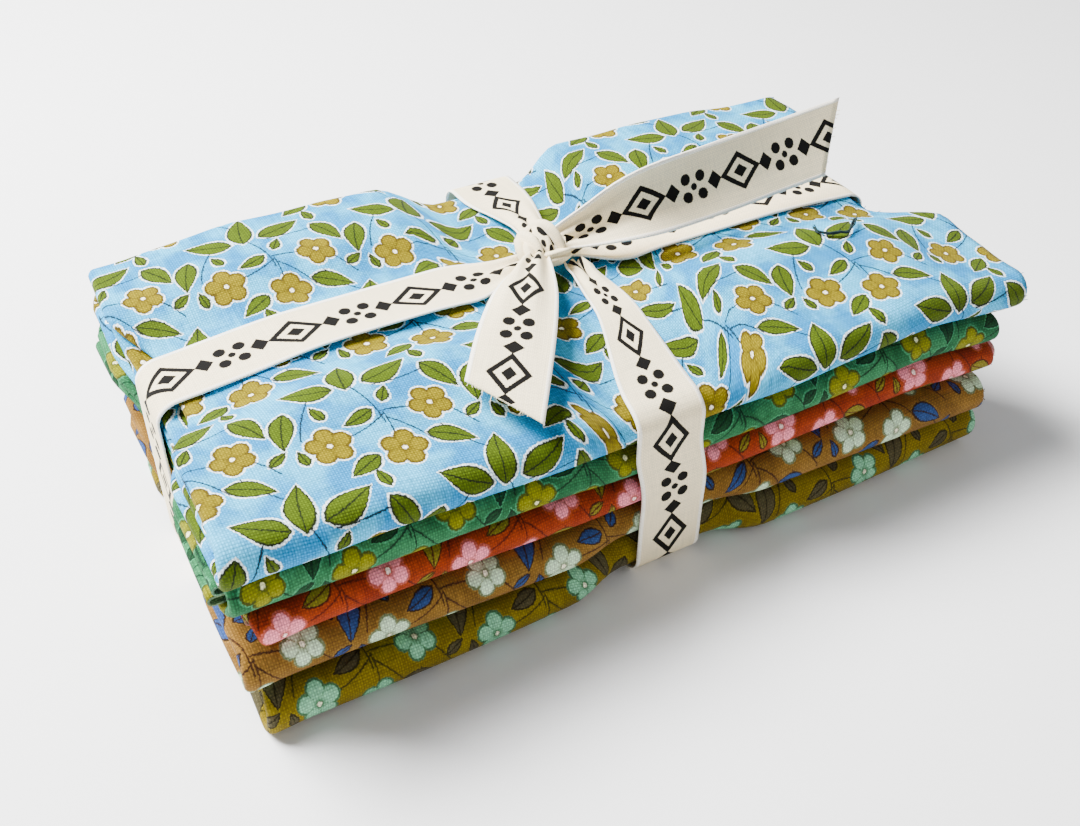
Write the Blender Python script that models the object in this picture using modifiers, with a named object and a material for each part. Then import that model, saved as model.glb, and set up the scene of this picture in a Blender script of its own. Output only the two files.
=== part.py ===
"""A fat quarter bundle: five folded fat quarters of printed cotton, tied with a cotton tape.

Metres, +Z up. The bundle rests on z = 0 with its long front edge along X and its front towards -Y,
and its outline is centred on the origin.
Each cloth is folded in half, with that fold at the left end, and then back and forth into four
doubled layers. The front edge of every cloth is one rounded wrap round all its layers.
"""

import math
from collections import namedtuple

import bmesh
import bpy
from mathutils import Matrix, Vector

MM = 0.001
MIDDLE = Vector((1.75, 2.8, 0.0)) * MM   # of the outline as it is laid out below

# Cloth, as it is folded
LEAF = 1.0 * MM               # one leaf of cloth with its nap
LAYERS = 4                    # doubled layers in each cloth
CLOTH_GAP = 0.6 * MM          # between one cloth and the next
UPPER_CUT_EDGE = -38.0 * MM   # where the two cut edges inside lie, behind the front wrap
LOWER_CUT_EDGE = -36.0 * MM

# Cloths from the bottom up, in millimetres: the height that each takes in the stack, its two ends,
# its front and back edges, how much the front edge runs back towards the right, and the number
# that sets how unevenly its layers end
Cloth = namedtuple("Cloth", "name rise left right front back slant seed colour")
CLOTHS = (
    Cloth("fat_quarter_olive", 13.8, -109.0, 110.5, -57.5, 56.0, 0.004, 0.6, (0.212, 0.194, 0.010)),
    Cloth("fat_quarter_tan", 12.9, -111.5, 109.5, -56.5, 57.5, -0.014, 2.1, (0.396, 0.216, 0.050)),
    Cloth("fat_quarter_rust", 11.4, -107.5, 113.0, -54.0, 58.0, -0.002, 3.7, (0.479, 0.065, 0.011)),
    Cloth("fat_quarter_green", 12.0, -113.5, 110.0, -54.5, 60.0, -0.010, 5.2, (0.116, 0.423, 0.287)),
    Cloth("fat_quarter_blue", 12.6, -112.5, 116.5, -56.5, 64.0, 0.002, 1.3, (0.159, 0.456, 0.730)),
)
STACK_HEIGHT = sum(cloth.rise for cloth in CLOTHS) * MM
STACK_TOP = STACK_HEIGHT - CLOTH_GAP
LEFT_SLANT = 0.035            # how much the left ends run back towards the back
UNEVEN_ENDS = 1.3 * MM        # from layer to layer at the two ends
UNEVEN_WAVE = 0.6 * MM        # along one layer
WAVE_LENGTH = 17.0 * MM
LEFT_STEP = 1.9               # how far the wave turns from one layer to the next
RIGHT_STEP = 2.3
LEAF_STEP = 1.4               # and from one leaf to the other
UNEVEN_BACK = 1.2 * MM        # of the folds at the back
BACK_WAVE_LENGTH = 50.0 * MM

# Tape
TAPE_WIDTH = 20.0 * MM
TAPE_THICK = 1.0 * MM
TAPE_CLEAR = 0.8 * MM         # from the cloth, before the tape presses the stack
CROSSING_CLEAR = 0.35 * MM
LONG_Y = 10.0 * MM            # line of the band that runs the long way
CROSS_X = 2.0 * MM            # line of the band that runs the short way
GATHERED_WIDTH = 8.0 * MM     # of a band where it goes into the knot
GATHER_START, GATHER_STOP = 4.0 * MM, 24.0 * MM
KNOT_LEFT, KNOT_RIGHT = -7.0 * MM, 5.0 * MM    # where the bands end in the knot
KNOT_FRONT, KNOT_BACK = 5.0 * MM, 15.0 * MM
ARC_STEPS = 3
SHORTEST_EDGE = 0.02 * MM
TAPE_COLOUR = (0.88, 0.84, 0.72)

# How the tape presses the stack
PRESS_HALF = 13.0 * MM        # half of the pressed strip under a band
PRESS_SLOPE = 18.0 * MM       # from the pressed strip to the free cloth
PRESS_MIDDLE = 1.6 * MM
PRESS_END = 3.2 * MM          # added where a band goes over the two ends
PRESS_FRONT = 2.0 * MM        # over the front edge
PRESS_BACK = 4.4 * MM         # and over the back edge
HOLD_LEFT = -108.5 * MM       # where the band holds the cloths' edges
HOLD_RIGHT = 106.5 * MM
HOLD_FRONT = -53.0 * MM
HOLD_BACK = 58.0 * MM
HOLD_ROUND = 5.0 * MM         # rounding of the held edges, top and bottom
CHANNEL = TAPE_THICK + CROSSING_CLEAR

# How the free cloth puffs up, and how the stack falls and rises towards its edges
PUFF = 3.2 * MM
FRONT_SAG = 5.5 * MM          # along the front, deepest at the band and none at the corners
SAG_REACH = 112.0 * MM
SAG_POWER = 1.5
BACK_RISE = 3.0 * MM
LEFT_FALL = 1.2 * MM
RIGHT_DROOP = 6.0 * MM        # of the right end, in front of the long band
END_START, END_STOP = 68.0 * MM, 112.0 * MM
DROOP_START, DROOP_STOP = 80.0 * MM, 116.0 * MM
SIDE_START, SIDE_STOP = 12.0 * MM, 54.0 * MM

# Where the points of every cloth lie, so that their flats stay parallel
X_STATIONS = [mm * MM for mm in (-96.0, -62.0, -29.0, -11.0, 15.0, 33.0, 64.0, 96.0)]
Y_STATIONS = [mm * MM for mm in (-39.0, -21.0, -3.0, 23.0, 41.0)]
END_FOLD_STEPS = 4
BACK_TURN_STEPS = 3
FRONT_TURN_STEPS = 6

# Knot, and the tails from the knot outwards in millimetres: the middle of the tape, its width, how
# far its width leans from level towards upright, and how much the tape is cupped
KNOT_PLACE = (-1.0 * MM, 10.0 * MM)
KNOT_HEIGHT = 65.4 * MM
KNOT_RISE = 3.2 * MM          # how far the gathered bands rise to the knot
Lump = namedtuple("Lump", "name x y z width depth height turn")
KNOT_LUMPS = (
    Lump("knot_body", 0.0, 0.0, 0.0, 17.0, 13.0, 9.0, 10.0),
    Lump("knot_strap", 1.5, 0.0, 1.4, 6.5, 17.0, 9.0, -8.0),
    Lump("knot_turn", 1.0, -5.0, 0.6, 12.0, 7.0, 7.0, 15.0),
)
Section = namedtuple("Section", "x y z width lean cup")
TAIL_RIGHT = (
    Section(3.0, 9.5, 66.5, 7.0, 20.0, 1.5),
    Section(13.0, 7.5, 69.0, 11.0, 42.0, 2.5),
    Section(28.0, 4.0, 74.0, 18.5, 56.0, 2.6),
    Section(50.0, 4.5, 75.0, 20.0, 57.0, 1.2),
    Section(74.0, 6.5, 75.4, 20.0, 56.0, 0.6),
    Section(93.0, 7.0, 77.0, 20.0, 55.0, 0.3),
)
TAIL_FRONT = (
    Section(-4.0, 6.5, 66.0, 7.0, 10.0, 1.0),
    Section(-9.5, -0.5, 67.8, 11.0, 6.0, 1.2),
    Section(-17.0, -10.5, 68.0, 17.0, 0.0, 0.8),
    Section(-28.0, -25.5, 67.6, 19.5, -3.0, 0.4),
    Section(-39.5, -41.5, 65.6, 20.0, -4.0, 0.2),
)
TAIL_CUT_RIGHT = 12.0 * MM    # how far one edge of a cut end is longer than the other
TAIL_CUT_FRONT = 11.0 * MM


def smooth(start, stop, value):
    """A smooth rise from 0 at start to 1 at stop."""
    share = min(max((value - start) / (stop - start), 0.0), 1.0)
    return share * share * (3.0 - 2.0 * share)


def blend(first, second, share):
    return first + (second - first) * share


def pressed(distance):
    """1 under a band, 0 on the free cloth beside it."""
    return 1.0 - smooth(PRESS_HALF, PRESS_HALF + PRESS_SLOPE, abs(distance))


def settle(x, y, z):
    """Where a point of the evenly stacked cloths comes to lie in the tied bundle."""
    under_long = pressed(y - LONG_Y)
    under_cross = pressed(x - CROSS_X)
    end = smooth(END_START, END_STOP, abs(x))
    front = smooth(SIDE_START, SIDE_STOP, -y)
    back = smooth(SIDE_START, SIDE_STOP, y)
    along_front = 1.0 - min(abs(x - CROSS_X) / SAG_REACH, 1.0) ** SAG_POWER
    right_end = smooth(DROOP_START, DROOP_STOP, x)
    before_band = smooth(-LONG_Y, SIDE_STOP - LONG_Y, -y)
    drop = under_long * (PRESS_MIDDLE + PRESS_END * end)
    drop += under_cross * (PRESS_MIDDLE + PRESS_FRONT * front + PRESS_BACK * back)
    drop += FRONT_SAG * front * along_front
    drop += RIGHT_DROOP * right_end * before_band
    drop += LEFT_FALL * end * (x < 0.0)
    free = (1.0 - under_long) * (1.0 - under_cross)
    rise = BACK_RISE * back + PUFF * free * (1.0 - end) * (1.0 - front)
    scale = 1.0 + (rise - drop) / STACK_HEIGHT
    channel = CHANNEL * (under_long + under_cross) * (1.0 - z / STACK_HEIGHT)
    rest = LEAF / 2.0
    return rest + (z - rest) * scale + channel


def held_in(z, half):
    """How far the rounding under a band sets in a doubled layer, half its leaves' spacing thick."""
    above = max(z + half + LEAF / 2.0 - (STACK_TOP - HOLD_ROUND), 0.0)
    below = max(HOLD_ROUND - (z - half - LEAF / 2.0), 0.0)
    reach = min(max(above, below), HOLD_ROUND)
    return HOLD_ROUND - math.sqrt(HOLD_ROUND ** 2 - reach ** 2)


def cloth_front(cloth, x):
    """The front edge of a cloth at x, drawn in where the short band crosses it."""
    free = cloth.front * MM + cloth.slant * x
    return blend(free, max(free, HOLD_FRONT), pressed(x - CROSS_X))


def cloth_back(cloth, x, layer, z, half):
    """The back edge of a layer at x, drawn in where the short band crosses it."""
    wave = math.sin(LEFT_STEP * layer + cloth.seed + x / BACK_WAVE_LENGTH)
    free = cloth.back * MM - UNEVEN_BACK * (1.0 + wave)
    held = min(free, HOLD_BACK - held_in(z, half))
    return blend(free, held, pressed(x - CROSS_X))


def cloth_left(cloth, layer, y, z, half):
    """The folded left end of a layer, uneven, and held in where the long band passes."""
    free = cloth.left * MM + UNEVEN_ENDS * math.sin(LEFT_STEP * layer + cloth.seed)
    free += LEFT_SLANT * (y - cloth.front * MM)
    free += UNEVEN_WAVE * math.sin(y / WAVE_LENGTH + layer + 2.0 * cloth.seed)
    held = max(free, HOLD_LEFT + held_in(z, half))
    return blend(free, held, pressed(y - LONG_Y))


def cloth_right(cloth, layer, leaf, y, z, half):
    """The cut right end of one leaf of a layer."""
    wave = math.sin(RIGHT_STEP * layer + cloth.seed + LEAF_STEP * leaf)
    free = cloth.right * MM + UNEVEN_ENDS * wave
    free += UNEVEN_WAVE * math.sin(y / WAVE_LENGTH + layer + cloth.seed)
    held = min(free, HOLD_RIGHT - held_in(z, half))
    return blend(free, held, pressed(y - LONG_Y))


def fold_path(cloth, base, x):
    """The folded section of a doubled cloth at x, from one cut edge to the other.

    Each point is (layer, y, z, y of the inward normal, z of the inward normal).
    """
    thick = cloth.rise * MM - CLOTH_GAP
    pitch = (thick - LEAF) / (LAYERS - 0.5)
    half = pitch / 4.0
    front_turn = 1.5 * pitch
    back_turn = 0.5 * pitch
    heights = [base + LEAF / 2.0 + half + pitch * row for row in range(LAYERS)]
    front = cloth_front(cloth, x) + LEAF / 2.0 + half + front_turn
    reach = LEAF / 2.0 + half + back_turn

    def run(layer, start, stop, row, inward):
        between = [y for y in Y_STATIONS if min(start, stop) < y < max(start, stop)]
        stations = sorted([start, stop] + between, reverse=start > stop)
        return [(layer, y, heights[row], 0.0, inward) for y in stations]

    def turn(layer, y, z, radius, steps, sweep_from):
        points = []
        for step in range(1, steps):
            angle = sweep_from + math.pi * step / steps
            side, up = math.cos(angle), math.sin(angle)
            place = (y + radius * side, z + radius * up)
            points.append((layer + step / steps, *place, -side, -up))
        return points

    upper_back = cloth_back(cloth, x, 0, heights[3], half) - reach
    lower_back = cloth_back(cloth, x, 2, heights[0], half) - reach
    path = run(0, UPPER_CUT_EDGE, upper_back, 2, 1.0)
    path += turn(0, upper_back, heights[2] + back_turn, back_turn, BACK_TURN_STEPS, -math.pi / 2.0)
    path += run(1, upper_back, front, 3, -1.0)
    path += turn(1, front, heights[0] + front_turn, front_turn, FRONT_TURN_STEPS, math.pi / 2.0)
    path += run(2, front, lower_back, 0, 1.0)
    path += turn(2, lower_back, heights[0] + back_turn, back_turn, BACK_TURN_STEPS, -math.pi / 2.0)
    path += run(3, lower_back, LOWER_CUT_EDGE, 1, -1.0)
    return path, half


def cloth_columns():
    """The columns of points across a doubled layer, from one cut end round the fold to the other.

    Each column is (leaf, station): leaf -1 outside and 1 inside, or an angle round the fold.
    """
    beside_fold = ["fold"] + X_STATIONS + ["cut"]
    columns = [("leaf", -1, place) for place in reversed(beside_fold)]
    for step in range(1, END_FOLD_STEPS):
        columns.append(("turn", -math.pi / 2.0 + math.pi * step / END_FOLD_STEPS, None))
    columns += [("leaf", 1, place) for place in beside_fold]
    return columns


def cloth_point(cloth, path_at, row, column):
    """One point of the folded cloth in the tied bundle."""
    kind, value, place = column
    nominal = place if isinstance(place, float) else cloth.left * MM
    if place == "cut":
        nominal = cloth.right * MM
    path, half = path_at(nominal)
    layer, y, z, inward_y, inward_z = path[row]
    left = cloth_left(cloth, layer, y, z, half)
    if kind == "turn":
        x = left + LEAF / 2.0 + half * (1.0 - math.cos(value))
        offset = half * math.sin(value)
    else:
        offset = half * value
        x = place
        if place == "cut":
            x = cloth_right(cloth, layer, value, y, z, half)
        elif place == "fold":
            x = left + LEAF / 2.0 + half
    y += inward_y * offset
    z += inward_z * offset
    return Vector((x, y, settle(x, y, z)))


def surface(points, name):
    """An object whose open surface is a grid laid through rows of points.

    Every face is split along the diagonal on which x and y grow together, so that sheets which lie
    on each other bend along the same lines.
    """
    mesh = bmesh.new()
    across, along = len(points[0]), len(points)
    bmesh.ops.create_grid(mesh, x_segments=across - 1, y_segments=along - 1, size=0.5)
    mesh.verts.ensure_lookup_table()
    for vert, point in zip(mesh.verts, (point for row in points for point in row)):
        vert.co = point
    for face in mesh.faces[:]:
        a, b, c, d = face.verts
        first, second = c.co - a.co, d.co - b.co
        if first.x * first.y >= second.x * second.y:
            bmesh.utils.face_split(face, a, c)
        else:
            bmesh.utils.face_split(face, b, d)
    data = bpy.data.meshes.new(name)
    mesh.to_mesh(data)
    mesh.free()
    return bpy.data.objects.new(name, data)


def thicken(piece, thickness):
    """Give an open surface its thickness, half to each side."""
    solidify = piece.modifiers.new("thickness", "SOLIDIFY")
    solidify.thickness = thickness
    solidify.offset = 0.0


def fabric_material(name, colour, roughness):
    """A matt material of one colour."""
    material = bpy.data.materials.new(name)
    material.use_nodes = True
    shader = material.node_tree.nodes["Principled BSDF"]
    shader.inputs["Base Color"].default_value = (*colour, 1.0)
    shader.inputs["Roughness"].default_value = roughness
    shader.inputs["Metallic"].default_value = 0.0
    return material


def finish(piece, collection, colour, roughness):
    """Move a piece to its place, shade it, give it its material and put it in the collection."""
    piece.data.transform(Matrix.Translation(-MIDDLE))
    piece.data.shade_smooth()
    piece.data.set_sharp_from_angle(angle=math.radians(50.0))
    piece.data.materials.clear()
    piece.data.materials.append(fabric_material(piece.name, colour, roughness))
    collection.objects.link(piece)


def build_cloth(cloth, base, collection):
    """One folded fat quarter, as a single sheet."""
    known = {}

    def path_at(x):
        if x not in known:
            known[x] = fold_path(cloth, base, x)
        return known[x]

    columns = cloth_columns()
    rows = len(path_at(0.0)[0])
    points = [[cloth_point(cloth, path_at, row, column) for column in columns] for row in range(rows)]
    piece = surface(points, cloth.name)
    thicken(piece, LEAF)
    finish(piece, collection, cloth.colour, 0.9)


def arc(centre, radius, start, stop):
    """Points round part of a circle, with both ends."""
    angles = [blend(start, stop, step / ARC_STEPS) for step in range(ARC_STEPS + 1)]
    return [(centre[0] + radius * math.cos(a), centre[1] + radius * math.sin(a)) for a in angles]


def band_route(low, high, stations, knot_low, knot_high, bottom):
    """The way of a band round the even stack, seen from the side, from knot to knot.

    low and high are the edges of the held cloth; bottom gives the height under it at a station.
    """
    out = TAPE_CLEAR + TAPE_THICK / 2.0
    top = STACK_TOP + out
    radius = HOLD_ROUND + out
    quarter = math.pi / 2.0
    low_centre, high_centre = low + HOLD_ROUND, high - HOLD_ROUND
    shoulder = top - radius
    foot = TAPE_THICK / 2.0
    inner = [place for place in stations if low_centre < place < high_centre]
    route = [(knot_low, top)]
    route += [(place, top) for place in reversed(inner) if place < knot_low]
    route += arc((low_centre, shoulder), radius, quarter, 2.0 * quarter)
    route += arc((low_centre, foot + radius), radius, 2.0 * quarter, 3.0 * quarter)
    route += [(place, bottom(place)) for place in inner]
    route += arc((high_centre, foot + radius), radius, 3.0 * quarter, 4.0 * quarter)
    route += arc((high_centre, shoulder), radius, 0.0, quarter)
    route += [(place, top) for place in reversed(inner) if place > knot_high]
    return route + [(knot_high, top)]


def gathered(distance):
    """1 where the tape goes into the knot, 0 where it lies at its full width."""
    return 1.0 - smooth(GATHER_START, GATHER_STOP, distance)


def band(name, route, place):
    """A band of tape on its route; place turns a station, a height and a width share to a point."""
    points = [[place(along, z, side) for side in (-0.5, 0.0, 0.5)] for along, z in route]
    piece = surface(points, name)
    thicken(piece, TAPE_THICK)
    return piece


def settled_tape(x, y, z):
    """A point of the tape: it presses the cloth above and lies flat on the ground below."""
    return Vector((x, y, settle(x, y, z) if z > 2.0 * HOLD_ROUND else z))


def long_band():
    """The band that runs the long way, and passes over the other one under the stack."""
    over = TAPE_THICK + CROSSING_CLEAR

    def bottom(x):
        return TAPE_THICK / 2.0 + over * (abs(x - CROSS_X) <= PRESS_HALF)

    def place(x, z, side):
        share = gathered(abs(x - KNOT_PLACE[0])) * (z > STACK_TOP)
        y = LONG_Y + side * blend(TAPE_WIDTH, GATHERED_WIDTH, share)
        return settled_tape(x, y, z + KNOT_RISE * share)

    route = band_route(HOLD_LEFT, HOLD_RIGHT, X_STATIONS, KNOT_LEFT, KNOT_RIGHT, bottom)
    return band("long_band", route, place)


def cross_band():
    """The band that runs the short way, flat on the ground under the stack."""

    def bottom(_):
        return TAPE_THICK / 2.0

    def place(y, z, side):
        share = gathered(abs(y - KNOT_PLACE[1])) * (z > STACK_TOP)
        x = CROSS_X + side * blend(TAPE_WIDTH, GATHERED_WIDTH, share)
        return settled_tape(x, y, z + KNOT_RISE * share)

    route = band_route(HOLD_FRONT, HOLD_BACK, Y_STATIONS, KNOT_FRONT, KNOT_BACK, bottom)
    return band("cross_band", route, place)


def tail(name, sections, cut):
    """A free end of the tape, cupped beside the knot and cut on a slant."""
    points = []
    for index, section in enumerate(sections):
        before = sections[max(index - 1, 0)]
        after = sections[min(index + 1, len(sections) - 1)]
        ahead = Vector((after.x - before.x, after.y - before.y, after.z - before.z)).normalized()
        level = ahead.cross(Vector((0.0, 0.0, 1.0))).normalized()
        upright = level.cross(ahead)
        lean = math.radians(section.lean)
        across = level * -math.cos(lean) + upright * math.sin(lean)
        hollow = across.cross(ahead)
        middle = Vector((section.x, section.y, section.z)) * MM
        slant = ahead * cut * (index == len(sections) - 1)
        row = []
        for side in (-0.5, -0.25, 0.0, 0.25, 0.5):
            depth = section.cup * MM * (4.0 * side * side - 0.5)
            row.append(middle + across * section.width * MM * side + hollow * depth + slant * side)
        points.append(row)
    piece = surface(points, name)
    thicken(piece, TAPE_THICK)
    return piece


def knot_lump(lump):
    """A rounded turn of the knot."""
    mesh = bmesh.new()
    bmesh.ops.create_uvsphere(mesh, u_segments=12, v_segments=8, radius=0.5)
    data = bpy.data.meshes.new(lump.name)
    mesh.to_mesh(data)
    mesh.free()
    piece = bpy.data.objects.new(lump.name, data)
    piece.location = Vector((*KNOT_PLACE, KNOT_HEIGHT)) + Vector((lump.x, lump.y, lump.z)) * MM
    piece.rotation_euler = (0.0, 0.0, math.radians(lump.turn))
    piece.scale = Vector((lump.width, lump.depth, lump.height)) * MM
    return piece


def joined(name, parts):
    """One solid made of all the parts."""
    scene = bpy.context.scene
    for part in parts:
        scene.collection.objects.link(part)
    first = parts[0]
    for other in parts[1:]:
        union = first.modifiers.new(other.name, "BOOLEAN")
        union.operation = "UNION"
        union.object = other
    bpy.context.view_layer.update()
    graph = bpy.context.evaluated_depsgraph_get()
    data = bpy.data.meshes.new_from_object(first.evaluated_get(graph))
    data.name = name
    mesh = bmesh.new()
    mesh.from_mesh(data)
    bmesh.ops.remove_doubles(mesh, verts=mesh.verts, dist=SHORTEST_EDGE)
    mesh.to_mesh(data)
    mesh.free()
    for part in parts:
        bpy.data.objects.remove(part)
    return bpy.data.objects.new(name, data)


def build_tape(collection):
    """The tape: two bands, the knot and two tails, which are one length of cloth."""
    parts = [long_band(), cross_band()]
    parts.append(tail("tail_right", TAIL_RIGHT, TAIL_CUT_RIGHT))
    parts.append(tail("tail_front", TAIL_FRONT, TAIL_CUT_FRONT))
    parts += [knot_lump(lump) for lump in KNOT_LUMPS]
    piece = joined("ribbon", parts)
    finish(piece, collection, TAPE_COLOUR, 0.85)


def main():
    for old in list(bpy.data.objects):
        bpy.data.objects.remove(old)
    collection = bpy.data.collections.new("fat_quarter_bundle")
    bpy.context.scene.collection.children.link(collection)
    base = 0.0
    for cloth in CLOTHS:
        build_cloth(cloth, base, collection)
        base += cloth.rise * MM
    build_tape(collection)


main()
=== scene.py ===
"""The finish of a fat quarter bundle: five folded printed cottons, tied with a printed cotton tape."""

import math
import random
from collections import namedtuple

import bmesh
import bpy
from bpy.props import FloatProperty, FloatVectorProperty, PointerProperty
from mathutils import Matrix, Vector


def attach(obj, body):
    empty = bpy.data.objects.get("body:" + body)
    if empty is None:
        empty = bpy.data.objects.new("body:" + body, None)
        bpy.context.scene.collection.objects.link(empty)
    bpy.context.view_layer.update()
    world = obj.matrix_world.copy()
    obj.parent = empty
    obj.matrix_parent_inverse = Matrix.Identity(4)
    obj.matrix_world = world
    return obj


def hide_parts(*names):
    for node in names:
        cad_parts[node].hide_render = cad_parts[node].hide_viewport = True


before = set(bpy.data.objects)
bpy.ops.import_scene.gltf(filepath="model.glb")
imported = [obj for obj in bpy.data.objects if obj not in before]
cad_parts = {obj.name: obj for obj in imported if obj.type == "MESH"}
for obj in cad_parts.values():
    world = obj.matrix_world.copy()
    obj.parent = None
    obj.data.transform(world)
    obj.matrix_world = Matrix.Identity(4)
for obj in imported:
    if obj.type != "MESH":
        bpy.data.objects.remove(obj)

bl_info = {
    "name": "Fat quarter bundle",
    "version": (1, 0, 0),
    "blender": (4, 5, 0),
    "location": "3D View > Sidebar > Bundle",
    "description": "Builds a tied bundle of folded quilting cottons with their print and weave",
    "category": "Object",
}

MM = 0.001
MIDDLE = Vector((1.75, 2.8, 0.0)) * MM   # of the bundle as it is laid out below
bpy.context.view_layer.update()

# Folded cloths, from the bottom up, in millimetres: the height that each takes in the stack, its
# two ends, its front and back edges, how much the front edge runs back towards the right, and the
# number that sets how unevenly its layers end
Cloth = namedtuple("Cloth", "name rise left right front back slant seed")
CLOTHS = (
    Cloth("olive", 13.8, -109.0, 110.5, -57.5, 56.0, 0.004, 0.6),
    Cloth("tan", 12.9, -111.5, 109.5, -56.5, 57.5, -0.014, 2.1),
    Cloth("rust", 11.4, -107.5, 113.0, -54.0, 58.0, -0.002, 3.7),
    Cloth("green", 12.0, -113.5, 110.0, -54.5, 60.0, -0.010, 5.2),
    Cloth("blue", 12.6, -112.5, 116.5, -56.5, 64.0, 0.002, 1.3),
)
STACK_HEIGHT = sum(cloth.rise for cloth in CLOTHS) * MM
ROOM = 1.0 * MM               # that a leaf of cloth takes in the stack
CLOTH_GAP = 0.6 * MM
LAYERS = 4
STACK_TOP = STACK_HEIGHT - CLOTH_GAP
UPPER_CUT_EDGE = 5.2 * MM     # behind the front edge, inside the fold
LOWER_CUT_EDGE = 5.6 * MM
LEFT_SLANT = 0.02
UNEVEN_ENDS = 1.3 * MM
UNEVEN_WAVE = 0.6 * MM
WAVE_LENGTH = 17.0 * MM
LEFT_STEP = 1.9
RIGHT_STEP = 2.3
LEAF_STEP = 1.4
UNEVEN_BACK = 1.2 * MM
BACK_WAVE_LENGTH = 50.0 * MM
FOLD_SWELL = 0.42 * MM        # how much a doubled layer opens where it folds
FOLD_SWELL_REACH = 9.0 * MM

# Tape
TAPE_WIDTH = 19.5 * MM
TAPE_OUT = 0.75 * MM          # middle of the tape above the cloth
GATHER_START, GATHER_STOP = 3.0 * MM, 26.0 * MM   # from the knot to the tape's full width
BACK_GATHER = 0.62            # behind the knot the short band stays gathered for longer
LONG_GATHERED, CROSS_GATHERED = 7.0 * MM, 6.0 * MM
LONG_SWAY = 1.6 * MM          # how far the long band runs off to the back at both ends
SWAY_BEFORE_KNOT, SWAY_FRONT = 4.2 * MM, -2.6 * MM
SWAY_BEHIND_KNOT, SWAY_BACK = -2.0 * MM, 3.2 * MM
NARROWED = 0.45               # share by which the short band narrows before the knot
EDGE_LIFT = 5.5 * MM          # of the long band's front edge, left of the knot
LONG_Y = 10.0 * MM
CROSS_X = 2.0 * MM
CROSSING = 1.35 * MM          # rise of one band over the other, under the stack

# How the tape presses the stack, and how the free cloth puffs, sags and droops
PRESS_HALF = 13.0 * MM
PRESS_SLOPE = 18.0 * MM
PRESS_MIDDLE = 1.6 * MM
PRESS_END = 3.2 * MM
PRESS_FRONT = 2.0 * MM
PRESS_BACK = 1.8 * MM
HOLD_LEFT = -108.5 * MM
HOLD_RIGHT = 106.5 * MM
HOLD_FRONT = -53.0 * MM
HOLD_BACK = 61.0 * MM
HOLD_ROUND = 5.0 * MM
BACK_LEAN = 4.0 * MM          # of the short band, from the top cloth in to the bottom one
PUFF = 3.2 * MM
FRONT_SAG = 5.5 * MM
SAG_REACH = 112.0 * MM
SAG_POWER = 1.5
BACK_RISE = 1.4 * MM
LEFT_FALL = 1.2 * MM
RIGHT_DROOP = 6.0 * MM
END_START, END_STOP = 68.0 * MM, 112.0 * MM
DROOP_START, DROOP_STOP = 80.0 * MM, 116.0 * MM
SIDE_START, SIDE_STOP = 12.0 * MM, 54.0 * MM

# Creases of the top cloth, in millimetres: from one point to another, how wide and how deep, where
# a negative depth is a ridge
Crease = namedtuple("Crease", "x y to_x to_y width depth")
CREASES = (
    Crease(-14.0, -4.0, -46.0, -22.0, 7.0, 0.7),
    Crease(-16.0, 24.0, -52.0, 40.0, 8.0, 0.8),
    Crease(-12.0, 30.0, -26.0, 58.0, 6.0, -0.6),
    Crease(18.0, -6.0, 44.0, -20.0, 8.0, 0.7),
    Crease(17.0, -22.0, 30.0, -52.0, 5.0, -0.6),
    Crease(-13.0, -28.0, -24.0, -54.0, 5.0, -0.6),
    Crease(20.0, 24.0, 40.0, 42.0, 7.0, 0.8),
    Crease(92.0, -3.0, 112.0, -14.0, 6.0, 0.8),
    Crease(88.0, 24.0, 112.0, 36.0, 7.0, 0.8),
    Crease(-90.0, -3.0, -110.0, -12.0, 6.0, 0.7),
    Crease(-88.0, 24.0, -110.0, 34.0, 6.0, 0.7),
)

# Thread that lies loose on the top cloth, in millimetres
LOOSE_THREAD = (
    (73.6, -12.5), (71.6, -15.8), (70.7, -19.0), (72.2, -21.0),
    (75.3, -22.1), (77.8, -22.9), (81.3, -21.0), (84.6, -18.5),
)

LOOSE_STRANDS = 5
LOOSE_SPREAD = 0.45           # mm
LOOSE_RADIUS = 0.22 * MM
RAW_RADIUS, RAW_LENGTH = 0.11 * MM, 1.3 * MM      # threads at the cut ends of the cloths
TAPE_THREAD_RADIUS, TAPE_THREAD_LENGTH = 0.1 * MM, 1.1 * MM
BAND_CLEAR = 11.0 * MM        # no raw threads under the band
LOWEST_THREAD = 0.2 * MM

# Knot, and the free ends from the knot outwards, in millimetres: the middle of the tape, its width,
# how far its width leans from level towards upright, how much the tape is cupped, and how deep it
# is pleated
KNOT_X = -1.0 * MM
KNOT_RISE = 3.2 * MM
Section = namedtuple("Section", "x y z width lean cup pleat fold", defaults=(0.0,))
TAIL_RIGHT = (
    (3.0, 9.5, 66.5, 6.0, 20.0, -1.4, 0.7, 0.5),
    (13.0, 7.5, 69.0, 11.0, 42.0, -2.4, 0.5, 3.0),
    (28.0, 4.0, 74.0, 18.0, 56.0, -2.2, 0.2, 4.5),
    (50.0, 4.5, 75.0, 19.6, 57.0, -0.8, 0.0, 2.6),
    (74.0, 6.5, 75.4, 19.8, 56.0, -0.4, 0.0, 1.0),
    (95.0, 7.0, 76.8, 20.0, 55.0, -0.2, 0.0, 0.4),
)
TAIL_FRONT = (
    (-4.0, 6.5, 66.0, 6.0, 10.0, 1.6, 0.9, 0.0),
    (-9.5, -0.5, 67.8, 11.0, 6.0, 2.2, 0.8, 0.0),
    (-17.0, -10.5, 68.0, 16.5, 0.0, 1.6, 0.4, 0.0),
    (-28.0, -25.5, 67.2, 19.3, -3.0, 0.5, 0.1, 0.0),
    (-41.4, -44.2, 65.4, 19.6, -4.0, 0.2, 0.0, 0.0),
)
TAIL_CUT_RIGHT = 13.0 * MM
TAIL_CUT_FRONT = 11.0 * MM

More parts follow.
